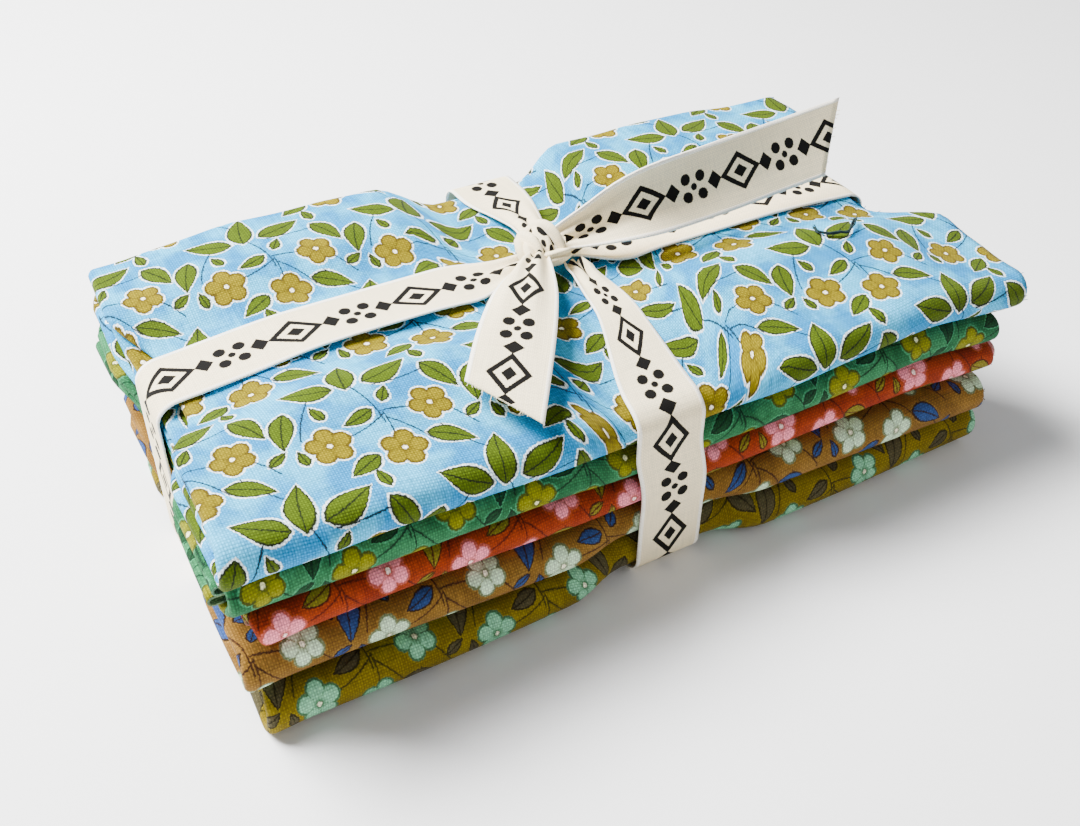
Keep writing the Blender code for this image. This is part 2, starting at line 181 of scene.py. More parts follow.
# Turns of the knot: the way that each turn's width faces, and its sections
Turn = namedtuple("Turn", "name across sections")
KNOT_TURNS = (
    Turn("core", (1.0, 0.0, 0.0), (
        (-0.5, 16.7, 62.4, 9.9, 0.0, 2.6, 0.4),
        (-0.5, 14.2, 65.6, 10.8, 0.0, 3.0, 0.6),
        (-0.3, 11.1, 67.0, 10.8, 0.0, 3.2, 0.7),
        (-0.3, 8.2, 66.6, 10.3, 0.0, 3.2, 0.6),
        (-0.1, 6.0, 64.6, 9.9, 0.0, 2.8, 0.5),
        (-0.1, 5.1, 62.4, 9.0, 0.0, 2.4, 0.3),
    )),
    Turn("body", (1.0, 0.1, 0.0), (
        (-2.2, 16.9, 63.0, 7.7, 0.0, 2.2, 0.7),
        (-2.2, 15.1, 66.6, 8.6, 0.0, 2.6, 1.0),
        (-2.1, 11.9, 68.5, 8.6, 0.0, 2.8, 1.1),
        (-1.9, 8.8, 68.5, 8.1, 0.0, 2.8, 1.1),
        (-1.7, 6.1, 66.6, 7.7, 0.0, 2.4, 0.8),
        (-1.7, 4.9, 63.0, 7.2, 0.0, 2.0, 0.5),
    )),
    Turn("strap", (1.0, 0.3, 0.0), (
        (-1.9, 17.9, 63.2, 2.5, 0.0, 1.3, 0.0),
        (-1.4, 16.2, 67.6, 2.8, 0.0, 1.7, 0.0),
        (0.1, 12.8, 71.0, 3.0, 0.0, 1.9, 0.1),
        (1.5, 9.3, 71.2, 3.0, 0.0, 1.9, 0.1),
        (2.5, 6.5, 69.0, 2.8, 0.0, 1.7, 0.0),
        (3.0, 4.5, 65.4, 2.5, 0.0, 1.3, 0.0),
    )),
    Turn("roll", (0.0, 0.6, 0.8), (
        (-5.0, 8.8, 62.8, 3.4, 0.0, 1.5, 0.2),
        (-4.0, 6.0, 64.6, 4.1, 0.0, 1.9, 0.4),
        (-1.4, 4.0, 65.8, 4.7, 0.0, 2.3, 0.6),
        (2.2, 3.8, 65.8, 4.7, 0.0, 2.3, 0.6),
        (4.8, 5.6, 64.8, 4.1, 0.0, 1.9, 0.4),
        (5.9, 8.2, 63.0, 3.4, 0.0, 1.5, 0.2),
    )),
    Turn("left", (0.7, 0.0, 0.7), (
        (-3.3, 16.5, 63.0, 2.5, 0.0, 1.2, 0.0),
        (-5.4, 14.6, 66.2, 3.1, 0.0, 1.6, 0.0),
        (-6.6, 11.8, 67.2, 3.2, 0.0, 1.7, 0.1),
        (-6.8, 9.1, 65.6, 3.1, 0.0, 1.6, 0.0),
        (-5.9, 7.5, 62.8, 2.5, 0.0, 1.2, 0.0),
    )),
    Turn("left_low", (0.7, 0.0, 0.7), (
        (-3.6, 12.1, 66.4, 2.3, 0.0, 1.2, 0.0),
        (-5.4, 9.8, 67.4, 3.1, 0.0, 1.6, 0.1),
        (-6.1, 7.2, 67.0, 3.2, 0.0, 1.7, 0.1),
        (-5.6, 5.1, 65.2, 2.9, 0.0, 1.5, 0.0),
        (-4.7, 4.2, 62.8, 2.3, 0.0, 1.2, 0.0),
    )),
    Turn("right", (0.7, 0.0, -0.7), (
        (2.5, 15.8, 62.6, 3.1, 0.0, 1.4, 0.1),
        (4.5, 13.3, 65.4, 3.8, 0.0, 1.8, 0.3),
        (5.0, 10.2, 66.4, 4.0, 0.0, 1.9, 0.4),
        (4.6, 7.4, 65.6, 3.6, 0.0, 1.7, 0.2),
        (3.9, 5.4, 62.8, 2.9, 0.0, 1.4, 0.0),
    )),
)

# Sprig print, in millimetres: a half-drop repeat of three flowers, thirteen leaves and their stems
REPEAT_ACROSS, REPEAT_DOWN = 46.0, 35.0
Flower = namedtuple("Flower", "x y turn radius")
FLOWERS = (
    Flower(-13.5, -7.5, 20.0, 5.6),
    Flower(1.5, -13.0, 0.0, 5.5),
    Flower(12.5, -2.0, 40.0, 5.3),
)
Leaf = namedtuple("Leaf", "x y turn length width bend")
LEAVES = (
    Leaf(-3.0, 13.5, 78.0, 13.0, 6.4, 0.012),
    Leaf(7.0, 10.5, 22.0, 13.5, 6.0, -0.014),
    Leaf(-12.5, 10.0, 158.0, 12.5, 5.8, 0.012),
    Leaf(18.5, 5.5, -62.0, 11.5, 5.4, 0.012),
    Leaf(-21.5, 0.5, -108.0, 12.0, 5.6, -0.012),
    Leaf(13.0, -12.5, -28.0, 11.5, 5.0, 0.016),
    Leaf(-8.5, -15.5, -150.0, 9.5, 4.6, 0.0),
    Leaf(-4.5, -2.0, -160.0, 8.5, 3.8, 0.02),
    Leaf(3.5, 3.5, 60.0, 5.6, 3.0, 0.0),
    Leaf(-12.5, 2.6, 110.0, 5.4, 2.8, 0.0),
    Leaf(21.0, -7.0, 30.0, 5.6, 2.8, 0.0),
    Leaf(-20.0, -9.0, 100.0, 5.2, 2.6, 0.0),
    Leaf(16.5, 15.0, 100.0, 6.0, 3.0, 0.0),
)
Stem = namedtuple("Stem", "x y turn half_length bend")
STEMS = (
    Stem(-0.2, 1.5, -76.0, 6.4, 0.02),
    Stem(1.4, -6.0, -92.0, 4.0, 0.02),
    Stem(-3.8, -5.0, 22.0, 5.4, -0.02),
    Stem(5.4, -1.6, -8.0, 4.6, 0.02),
    Stem(5.4, -7.6, -52.0, 5.6, 0.02),
    Stem(-15.5, 3.5, 60.0, 8.0, 0.015),
    Stem(10.5, 7.4, 8.0, 8.0, -0.01),
    Stem(-7.6, 20.0, 126.0, 7.0, 0.016),
    Stem(17.0, -6.0, -52.0, 6.0, 0.015),
)

# Colourways, in sRGB
Colourway = namedtuple("Colourway", "ground light flower rim leaf line stem halo heart")
COLOURWAYS = {
    "blue": Colourway(
        "0A7CB6", "3CAEDC", "746600", "4E4000", "405200", "161E06", "142430", "E2F0F4", "FFF6DC"),
    "green": Colourway(
        "185430", "2E7046", "727206", "3E4408", "123C20", "082414", "0C2C1A", "348054", "E6E2A8"),
    "rust": Colourway(
        "782206", "8C300A", "E88494", "A0483C", "746A1A", "3E1204", "501606", "8E340C", "F8D8D2"),
    "tan": Colourway(
        "6C4C1A", "7E5C24", "BCD6B4", "66704E", "284274", "281A0C", "3C2410", "7E5C24", "F0ECD0"),
    "olive": Colourway(
        "6A5A04", "78680A", "7CBC94", "3E6444", "4A442C", "26200A", "342E08", "78680A", "DCE0C0"),
}
TAPE_GROUND = "F4E4BE"
# whiter colour of the tape's woven edges, which also paints the highlight that the curled edges catch
TAPE_EDGE_AND_HIGHLIGHT = "FCF6E8"
TAPE_INK = "0A0806"
WEAVE_PITCH = 0.6             # real cotton has about 0.38 mm; drawn coarser so that it shows
TAPE_PITCH = 0.5

# Camera and light
CAMERA_TARGET = Vector((-11.0, -8.0, 25.0)) * MM
CAMERA_DISTANCE = 0.334
CAMERA_AZIMUTH, CAMERA_ELEVATION, CAMERA_ROLL = -30.1, 38.7, 0.7
SENSOR_WIDTH = 36.0
LENS = SENSOR_WIDTH * 1209.0 / 1080.0

MATH = "ShaderNodeMath"
VECTOR = "ShaderNodeVectorMath"
MIX = "ShaderNodeMix"


def linear(colour):
    """A linear colour from sRGB hex."""
    parts = [int(colour[place:place + 2], 16) / 255.0 for place in (0, 2, 4)]
    return [part / 12.92 if part <= 0.04045 else ((part + 0.055) / 1.055) ** 2.4 for part in parts]


def smooth(start, stop, value):
    """A smooth rise from 0 at start to 1 at stop."""
    share = min(max((value - start) / (stop - start), 0.0), 1.0)
    return share * share * (3.0 - 2.0 * share)


def blend(first, second, share):
    return first + (second - first) * share


def pressed(distance):
    """1 under a band, 0 on the free cloth beside it."""
    return 1.0 - smooth(PRESS_HALF, PRESS_HALF + PRESS_SLOPE, abs(distance))


def creased(x, y):
    """How much lower the creases and the slight rumple of the cloth lay a point of the top."""
    total = 0.22 * MM * math.sin(x / 0.0093 + 1.7 * math.sin(y / 0.021)) * math.sin(y / 0.0117 + 1.0)
    total += 0.16 * MM * math.sin(x / 0.0041 + y / 0.0067)
    for crease in CREASES:
        start = Vector((crease.x, crease.y)) * MM
        along = Vector((crease.to_x, crease.to_y)) * MM - start
        place = Vector((x, y)) - start
        share = min(max(place.dot(along) / along.length_squared, 0.0), 1.0)
        apart = (place - along * share).length
        if apart < 2.0 * crease.width * MM:
            fade = math.sin(math.pi * blend(0.12, 0.88, share))
            total += crease.depth * MM * fade * (1.0 - smooth(0.0, 2.0 * crease.width * MM, apart))
    return total


def settle(x, y, z):
    """Where a point of the evenly stacked cloths comes to lie in the tied bundle."""
    under_long = pressed(y - LONG_Y)
    under_cross = pressed(x - CROSS_X)
    end = smooth(END_START, END_STOP, abs(x))
    front = smooth(SIDE_START, SIDE_STOP, -y)
    back = smooth(SIDE_START, SIDE_STOP, y)
    along_front = 1.0 - min(abs(x - CROSS_X) / SAG_REACH, 1.0) ** SAG_POWER
    right_end = smooth(DROOP_START, DROOP_STOP, x)
    before_band = smooth(-LONG_Y, SIDE_STOP - LONG_Y, -y)
    drop = under_long * (PRESS_MIDDLE + PRESS_END * end)
    drop += under_cross * (PRESS_MIDDLE + PRESS_FRONT * front + PRESS_BACK * back)
    drop += FRONT_SAG * front * along_front
    drop += RIGHT_DROOP * right_end * before_band
    drop += LEFT_FALL * end * (x < 0.0)
    free = (1.0 - under_long) * (1.0 - under_cross)
    rise = BACK_RISE * back + PUFF * free * (1.0 - end) * (1.0 - front)
    scale = 1.0 + (rise - drop) / STACK_HEIGHT
    channel = CROSSING * (under_long + under_cross) * (1.0 - z / STACK_HEIGHT)
    rest = ROOM / 2.0
    return rest + (z - rest) * scale + channel


def held_in(z, half):
    """How far the rounding under a band sets in a doubled layer, half its leaves' spacing thick."""
    above = max(z + half + ROOM / 2.0 - (STACK_TOP - HOLD_ROUND), 0.0)
    below = max(HOLD_ROUND - (z - half - ROOM / 2.0), 0.0)
    reach = min(max(above, below), HOLD_ROUND)
    return HOLD_ROUND - math.sqrt(HOLD_ROUND ** 2 - reach ** 2)


def cloth_front(cloth, x):
    """The front edge of a cloth at x, a little wavy, and drawn in where the short band crosses it."""
    free = cloth.front * MM + cloth.slant * x
    free += 0.45 * MM * math.sin(x / 0.019 + 3.0 * cloth.seed)
    return blend(free, max(free, HOLD_FRONT), pressed(x - CROSS_X))


def cloth_back(cloth, x, layer, z, half):
    """The back edge of a layer at x, drawn in where the short band crosses it."""
    wave = math.sin(LEFT_STEP * layer + cloth.seed + x / BACK_WAVE_LENGTH)
    free = cloth.back * MM - UNEVEN_BACK * (1.0 + wave)
    held = min(free, HOLD_BACK - held_in(z, half))
    return blend(free, held, pressed(x - CROSS_X))


def cloth_left(cloth, layer, y, z, half):
    """The folded left end of a layer, uneven, and held in where the long band passes."""
    free = cloth.left * MM + UNEVEN_ENDS * math.sin(LEFT_STEP * layer + cloth.seed)
    free += LEFT_SLANT * (y - cloth.front * MM)
    free += UNEVEN_WAVE * math.sin(y / WAVE_LENGTH + layer + 2.0 * cloth.seed)
    held = max(free, HOLD_LEFT + held_in(z, half))
    return blend(free, held, pressed(y - LONG_Y))


def cloth_right(cloth, layer, leaf, y, z, half):
    """The cut right end of one leaf of a layer."""
    wave = math.sin(RIGHT_STEP * layer + cloth.seed + LEAF_STEP * leaf)
    free = cloth.right * MM + UNEVEN_ENDS * wave
    free += UNEVEN_WAVE * math.sin(y / WAVE_LENGTH + layer + cloth.seed)
    free += 0.18 * MM * math.sin(y / 0.0023 + 5.0 * layer)
    held = min(free, HOLD_RIGHT - held_in(z, half))
    return blend(free, held, pressed(y - LONG_Y))


def spread(start, stop, step):
    """Evenly spaced places from start to stop, no more than about a step apart."""
    count = max(round(abs(stop - start) / step), 1)
    return [blend(start, stop, index / count) for index in range(count + 1)]


def fold_path(cloth, base, x, step):
    """The folded section of a doubled cloth at x, from one cut edge to the other.

    Each point is (layer, y, z, y of the inward normal, z of the inward normal).
    """
    thick = cloth.rise * MM - CLOTH_GAP
    pitch = (thick - ROOM) / (LAYERS - 0.5)
    half = pitch / 4.0
    front_turn = 1.5 * pitch
    back_turn = 0.5 * pitch
    heights = [base + ROOM / 2.0 + half + pitch * row for row in range(LAYERS)]
    edge = cloth_front(cloth, x)
    front = edge + ROOM / 2.0 + half + front_turn
    reach = ROOM / 2.0 + half + back_turn
    flat_front, flat_back = -34.0 * MM, 40.0 * MM
    middle = spread(flat_front, flat_back, step)

    def run(layer, front_end, back_end, row, inward, towards_back):
        near = [blend(front_end, flat_front, share / 5.0) for share in range(5)]
        far = [blend(flat_back, back_end, share / 5.0) for share in range(1, 6)]
        stations = near + middle + far
        if not towards_back:
            stations.reverse()
        return [(layer, y, heights[row], 0.0, inward) for y in stations]

    def turn(layer, y, z, radius, steps, sweep_from):
        points = []
        for index in range(1, steps):
            angle = sweep_from + math.pi * index / steps
            side, up = math.cos(angle), math.sin(angle)
            points.append((layer + index / steps, y + radius * side, z + radius * up, -side, -up))
        return points

    upper_back = cloth_back(cloth, x, 0, heights[3], half) - reach
    lower_back = cloth_back(cloth, x, 2, heights[0], half) - reach
    path = run(0, edge + UPPER_CUT_EDGE, upper_back, 2, 1.0, True)
    path += turn(0, upper_back, heights[2] + back_turn, back_turn, 6, -math.pi / 2.0)
    path += run(1, front, upper_back, 3, -1.0, False)
    path += turn(1, front, heights[0] + front_turn, front_turn, 12, math.pi / 2.0)
    path += run(2, front, lower_back, 0, 1.0, True)
    path += turn(2, lower_back, heights[0] + back_turn, back_turn, 6, -math.pi / 2.0)
    path += run(3, edge + LOWER_CUT_EDGE, lower_back, 1, -1.0, False)
    lengths = [0.0]
    for before, after in zip(path, path[1:]):
        lengths.append(lengths[-1] + math.hypot(after[1] - before[1], after[2] - before[2]))
    return path, half, lengths


def cloth_rows(cloth, base, step):
    """Rows of points of a folded cloth, and each point's place on the flat cloth."""
    known = {}
    flat_left, flat_right = -96.0 * MM, 96.0 * MM
    beside_fold = [("fold", share) for share in (0.0, 0.1, 0.25, 0.45, 0.7)]
    middle = [("flat", x) for x in spread(flat_left, flat_right, step)]
    beside_cut = [("cut", share) for share in (0.25, 0.5, 0.75, 0.92, 1.0)]
    places = beside_fold + middle + beside_cut
    columns = [(-1, place) for place in reversed(places)]
    columns += [(0, ("turn", -math.pi / 2.0 + math.pi * index / 7)) for index in range(1, 7)]
    columns += [(1, place) for place in places]

    def path_at(x):
        if x not in known:
            known[x] = fold_path(cloth, base, x, step)
        return known[x]

    def point(row, side, kind, value):
        nominal = value
        if kind in ("fold", "turn"):
            nominal = blend(cloth.left * MM, flat_left, value if kind == "fold" else 0.0)
        elif kind == "cut":
            nominal = blend(flat_right, cloth.right * MM, value)
        path, half, lengths = path_at(nominal)
        layer, y, z, inward_y, inward_z = path[row]
        opened = half + FOLD_SWELL
        fold = cloth_left(cloth, layer, y, z, half) + ROOM / 2.0 + opened
        far = cloth.right * MM - fold
        if kind == "turn":
            x = fold - opened * math.cos(value)
            offset = opened * math.sin(value)
            across = far + opened * (value + math.pi / 2.0)
        else:
            x = value
            if kind == "fold":
                x = blend(fold, flat_left, value)
            elif kind == "cut":
                x = blend(flat_right, cloth_right(cloth, layer, side, y, z, half), value)
            offset = side * blend(opened, half, smooth(0.0, FOLD_SWELL_REACH, x - fold))
            across = cloth.right * MM - x if side < 0 else far + math.pi * opened + x - fold
        y += inward_y * offset
        z += inward_z * offset
        height = settle(x, y, z)
        height -= creased(x, y) * smooth(0.6, 1.0, z / STACK_HEIGHT)
        return Vector((x, y, height)), (across, lengths[row])

    count = len(path_at(0.0)[0])
    return [[point(row, side, *place) for side, place in columns] for row in range(count)]


def sheet_object(name, rows, thickness, reverse=False):
    """A sheet through rows of points, with a UV map in metres of the flat cloth."""
    mesh = bmesh.new()
    across, along = len(rows[0]), len(rows)
    bmesh.ops.create_grid(mesh, x_segments=across - 1, y_segments=along - 1, size=0.5)
    layer = mesh.loops.layers.uv.new("flat cloth")
    mesh.verts.ensure_lookup_table()
    flat = [item[1] for row in rows for item in row]
    for vert, item in zip(mesh.verts, (item for row in rows for item in row)):
        vert.co = item[0]
    for face in mesh.faces:
        face.smooth = True
        for loop in face.loops:
            loop[layer].uv = flat[loop.vert.index]
    if reverse:
        bmesh.ops.reverse_faces(mesh, faces=mesh.faces)
    bmesh.ops.translate(mesh, verts=mesh.verts, vec=-MIDDLE)
    data = bpy.data.meshes.new(name)
    mesh.to_mesh(data)
    mesh.free()
    piece = bpy.data.objects.new(name, data)
    bpy.context.scene.collection.objects.link(piece)
    solidify = piece.modifiers.new("thickness", "SOLIDIFY")
    solidify.thickness = thickness
    solidify.offset = 0.0
    solidify.material_offset = 1
    solidify.material_offset_rim = 1
    return piece


def add(tree, kind, inputs=None, **settings):
    """Add a node with its settings and links, and give its first output."""
    node = tree.nodes.new(kind)
    for name, value in settings.items():
        setattr(node, name, value)
    for key, value in (inputs or {}).items():
        if isinstance(value, bpy.types.NodeSocket):
            tree.links.new(value, node.inputs[key])
        else:
            node.inputs[key].default_value = value
    shown = [output for output in node.outputs if output.enabled]
    return shown[0] if shown else None


def new_group(name, inputs, outputs):
    """An empty node group with its sockets; gives the group and its input and output nodes."""
    tree = bpy.data.node_groups.new(name, "ShaderNodeTree")
    for label, kind in inputs.items():
        tree.interface.new_socket(name=label, in_out="INPUT", socket_type="NodeSocket" + kind)
    for label, kind in outputs.items():
        tree.interface.new_socket(name=label, in_out="OUTPUT", socket_type="NodeSocket" + kind)
    return tree, tree.nodes.new("NodeGroupInput").outputs, tree.nodes.new("NodeGroupOutput").inputs


def matt_material(name, roughness, specular, sheen=0.0):
    """A matt material; gives it with its nodes and its shader."""
    material = bpy.data.materials.new(name)
    material.use_nodes = True
    shader = material.node_tree.nodes["Principled BSDF"]
    shader.inputs["Roughness"].default_value = roughness
    shader.inputs["Specular IOR Level"].default_value = specular
    shader.inputs["Sheen Weight"].default_value = sheen
    return material, material.node_tree, shader


def motif_frame():
    """A group that lays a motif of the repeat at its place and turn, in millimetres along and across
    it, with the squared distance along and the distance beside its bent middle line."""
    tree, given, result = new_group(
        "motif place",
        {"Repeat": "Vector", "Centre": "Vector", "Along row": "Vector", "Across row": "Vector",
         "Bend": "Float"},
        {"Along": "Float", "Across": "Float", "Squared": "Float", "Beside": "Float"},
    )
    place = add(tree, VECTOR, {0: given["Repeat"], 1: given["Centre"]}, operation="SUBTRACT")
    place = add(tree, VECTOR, {0: place, 1: (0.5, 0.5, 0.5), 2: (-0.5, -0.5, -0.5)}, operation="WRAP")
    along = add(tree, VECTOR, {0: place, 1: given["Along row"]}, operation="DOT_PRODUCT")
    across = add(tree, VECTOR, {0: place, 1: given["Across row"]}, operation="DOT_PRODUCT")
    squared = add(tree, MATH, {0: along, 1: along}, operation="MULTIPLY")
    beside = add(tree, MATH, {0: squared, 1: given["Bend"], 2: across}, operation="MULTIPLY_ADD")
    beside = add(tree, MATH, {0: beside}, operation="ABSOLUTE")
    for socket, value in zip(result, (along, across, squared, beside)):
        tree.links.new(value, socket)
    return tree


def five_petals():
    """A group for a flower of five round petals: the distances to its edge and to its middle."""
    tree, given, result = new_group(
        "five petals",
        {"Along": "Float", "Across": "Float", "Radius": "Float"},
        {"Edge": "Float", "Middle": "Float"},
    )
    place = add(tree, "ShaderNodeCombineXYZ", {"X": given["Along"], "Y": given["Across"]})
    middle = add(tree, VECTOR, {0: place}, operation="LENGTH")
    angle = add(tree, MATH, {0: given["Across"], 1: given["Along"]}, operation="ARCTAN2")
    angle = add(tree, MATH, {0: angle, 1: math.pi / 5.0, 2: -math.pi / 5.0}, operation="WRAP")
    ahead = add(tree, MATH, {0: angle}, operation="COSINE")
    aside = add(tree, MATH, {0: angle}, operation="SINE")
    folded = add(tree, "ShaderNodeCombineXYZ", {"X": ahead, "Y": aside})
    folded = add(tree, VECTOR, {0: folded, "Scale": middle}, operation="SCALE")
    petal = add(tree, MATH, {0: given["Radius"], 1: 0.56}, operation="MULTIPLY")
    petal = add(tree, "ShaderNodeCombineXYZ", {"X": petal})
    edge = add(tree, VECTOR, {0: folded, 1: petal}, operation="DISTANCE")
    edge = add(tree, MATH, {0: edge, 1: middle}, operation="MINIMUM")
    edge = add(tree, MATH, {0: given["Radius"], 1: -0.43, 2: edge}, operation="MULTIPLY_ADD")
    tree.links.new(edge, result["Edge"])
    tree.links.new(middle, result["Middle"])
    return tree


def motif_place(tree, group, repeat, motif):
    """The place of a point on one motif."""
    turn = math.radians(motif.turn)
    c, s = math.cos(turn), math.sin(turn)
    down = motif.y / REPEAT_DOWN
    inputs = {
        "Repeat": repeat,
        "Centre": (motif.x / REPEAT_ACROSS - down / 2.0, down, 0.0),
        "Along row": (REPEAT_ACROSS * c, REPEAT_ACROSS / 2.0 * c + REPEAT_DOWN * s, 0.0),
        "Across row": (-REPEAT_ACROSS * s, -REPEAT_ACROSS / 2.0 * s + REPEAT_DOWN * c, 0.0),
        "Bend": getattr(motif, "bend", 0.0),
    }
    return add(tree, "ShaderNodeGroup", inputs, node_tree=group).node.outputs


def sprig_print():
    """The print as distances in millimetres to the edges of its flowers, leaves, ribs and stems."""
    tree, given, result = new_group(
        "sprig print",
        {"Millimetres": "Vector"},
        {"Flower": "Float", "Heart": "Float", "Leaf": "Float", "Rib": "Float", "Stem": "Float"},
    )
    group = motif_frame()
    petals = five_petals()
    rows = ((1.0 / REPEAT_ACROSS, -0.5 / REPEAT_DOWN, 0.0), (0.0, 1.0 / REPEAT_DOWN, 0.0))
    skewed = [add(tree, VECTOR, {0: given[0], 1: row}, operation="DOT_PRODUCT") for row in rows]
    repeat = add(tree, "ShaderNodeCombineXYZ", {"X": skewed[0], "Y": skewed[1]})
    nearest = {}

    def keep(name, value):
        if name in nearest:
            value = add(tree, MATH, {0: nearest[name], 1: value}, operation="MINIMUM")
        nearest[name] = value

    for flower in FLOWERS:
        place = motif_place(tree, group, repeat, flower)
        inputs = {"Along": place["Along"], "Across": place["Across"], "Radius": flower.radius}
        edge = add(tree, "ShaderNodeGroup", inputs, node_tree=petals)
        keep("Flower", edge)
        keep("Heart", edge.node.outputs["Middle"])
    for leaf in LEAVES:
        place = motif_place(tree, group, repeat, leaf)
        half = leaf.length / 2.0
        fall = leaf.width / 2.0 / half ** 2
        taper = add(tree, MATH, {0: place["Along"], 1: 0.4 / half, 2: 1.0}, operation="MULTIPLY_ADD")
        taper = add(tree, MATH, {0: taper, 1: 0.5}, operation="MAXIMUM")
        edge = add(tree, MATH, {0: place["Beside"], 1: taper}, operation="MULTIPLY")
        edge = add(tree, MATH, {0: place["Squared"], 1: fall, 2: edge}, operation="MULTIPLY_ADD")
        edge = add(tree, MATH, {0: edge, 1: leaf.width / 2.0}, operation="SUBTRACT")
        keep("Leaf", edge)
        inside = add(tree, MATH, {0: edge, 1: 0.6}, operation="ADD")
        keep("Rib", add(tree, MATH, {0: place["Beside"], 1: inside}, operation="MAXIMUM"))
    for stem in STEMS:
        place = motif_place(tree, group, repeat, stem)
        past = add(tree, MATH, {0: place["Along"]}, operation="ABSOLUTE")
        past = add(tree, MATH, {0: past, 1: stem.half_length}, operation="SUBTRACT")
        keep("Stem", add(tree, MATH, {0: place["Beside"], 1: past}, operation="MAXIMUM"))
    for name, value in nearest.items():
        tree.links.new(value, result[name])
    return tree


def plain_weave():
    """Over and under threads of a plain weave: their height, and a factor for the colour that paints shade
    where the threads dip, with the uneven tone of the yarn.
    """
    tree, given, result = new_group(
        "plain weave",
        {"Millimetres": "Vector", "Pitch": "Float"},
        {"Height": "Float", "Tint": "Float"},
    )
    turns = add(tree, MATH, {0: math.pi, 1: given["Pitch"]}, operation="DIVIDE")
    scaled = add(tree, VECTOR, {0: given["Millimetres"], "Scale": turns}, operation="SCALE")
    split = add(tree, "ShaderNodeSeparateXYZ", {0: scaled}).node.outputs
    warp = add(tree, MATH, {0: split["X"]}, operation="SINE")
    weft = add(tree, MATH, {0: split["Y"]}, operation="SINE")
    crossing = add(tree, MATH, {0: warp, 1: weft}, operation="MULTIPLY")
    round_thread = add(tree, MATH, {0: crossing}, operation="ABSOLUTE")
    round_thread = add(tree, MATH, {0: round_thread}, operation="SQRT")
    height = add(tree, MATH, {0: crossing, 1: 0.2, 2: 0.2}, operation="MULTIPLY_ADD")
    height = add(tree, MATH, {0: round_thread, 1: 0.6, 2: height}, operation="MULTIPLY_ADD")
    tree.links.new(height, result["Height"])
    streaks = []
    for stretch in ((2.2, 0.12, 1.0), (0.12, 2.2, 1.0)):
        threads = add(tree, VECTOR, {0: given["Millimetres"], 1: stretch}, operation="MULTIPLY")
        streaks.append(add(tree, "ShaderNodeTexNoise", {"Vector": threads, "Scale": 1.0, "Detail": 1.0},
                           noise_dimensions="2D"))
    uneven = add(tree, MATH, {0: streaks[0], 1: streaks[1]}, operation="ADD")
    # painted shade: the colour darkens where the threads dip under each other; the streaks add the yarn's
    # uneven tone
    thread_shade_and_tone = add(tree, MATH, {0: height, 1: 1.15, 2: -0.23}, operation="MULTIPLY_ADD")
    thread_shade_and_tone = add(tree, MATH, {0: uneven, 1: 0.6, 2: thread_shade_and_tone}, operation="MULTIPLY_ADD")
    tree.links.new(thread_shade_and_tone, result["Tint"])
    return tree


def printed_cotton(name, colours, ground, groups, offset, wrong_side):
    """Plain-weave quilting cotton, screen printed: matt, with threads that just show in raking light and
    through the ink, and with painted shade where the threads dip; the print shows faintly on the wrong side."""
    material, tree, shader = matt_material(name, 0.88, 0.12, 0.03)
    flat = add(tree, "ShaderNodeUVMap", uv_map="flat cloth")
    place = add(tree, VECTOR, {0: flat, 1: (-1000.0, -1000.0, 0.0), 2: offset}, operation="MULTIPLY_ADD")
    jitter = add(tree, "ShaderNodeTexNoise", {"Vector": place, "Scale": 1.6, "Detail": 1.0},
                 noise_dimensions="2D").node.outputs["Color"]
    jitter = add(tree, VECTOR, {0: jitter, 1: (0.5, 0.5, 0.5)}, operation="SUBTRACT")
    rough = add(tree, VECTOR, {0: jitter, 1: (0.55, 0.55, 0.0), 2: place}, operation="MULTIPLY_ADD")
    motifs = add(tree, "ShaderNodeGroup", {0: rough}, node_tree=groups["print"]).node.outputs
    threads = add(tree, "ShaderNodeGroup", {0: place, 1: WEAVE_PITCH}, node_tree=groups["weave"])
    threads = threads.node.outputs
    wash = add(tree, "ShaderNodeTexNoise", {"Vector": place, "Scale": 0.09, "Detail": 3.0},
               noise_dimensions="2D")
    wash = add(tree, "ShaderNodeMapRange", {0: wash, 1: 0.35, 2: 0.68}, interpolation_type="SMOOTHSTEP")
    colour = add(tree, MIX, {0: wash, 6: ground, 7: (*linear(colours.light), 1.0)}, data_type="RGBA")
    both = add(tree, MATH, {0: motifs["Flower"], 1: motifs["Leaf"]}, operation="MINIMUM")
    layers = (
        (both, 0.42, 0.1, colours.halo),
        (motifs["Stem"], 0.2, 0.1, colours.stem),
        (motifs["Leaf"], 0.0, 0.1, colours.line),
        (motifs["Leaf"], -0.4, 0.1, colours.leaf),
        (motifs["Rib"], 0.17, 0.1, colours.line),
        (motifs["Flower"], 0.0, 0.1, colours.rim),
        (motifs["Flower"], -0.6, 0.15, colours.flower),
        (motifs["Heart"], 1.25, 0.6, colours.rim),
        (motifs["Heart"], 0.6, 0.1, colours.heart),
    )
    for distance, edge, soft, tone in layers:
        mask = add(tree, "ShaderNodeMapRange",
                   {0: distance, 1: edge - soft, 2: edge + soft, 3: 1.0, 4: 0.0})
        colour = add(tree, MIX, {0: mask, 6: colour, 7: (*linear(tone), 1.0)}, data_type="RGBA")
    if wrong_side:
        pale = (*[blend(part, 0.8, 0.15) for part in linear(colours.light)], 1.0)
        colour = add(tree, MIX, {0: 0.68, 6: colour, 7: pale}, data_type="RGBA")
    # painted shade: the colour is darkened where the threads dip, together with the yarn's uneven tone
    thread_shade_and_tone = add(tree, VECTOR, {0: colour, "Scale": threads["Tint"]}, operation="SCALE")
    tree.links.new(thread_shade_and_tone, shader.inputs["Base Color"])
    bump = add(tree, "ShaderNodeBump", {"Strength": 0.85, "Distance": 0.00014, "Height": threads["Height"]})
    tree.links.new(bump, shader.inputs["Normal"])
    return material


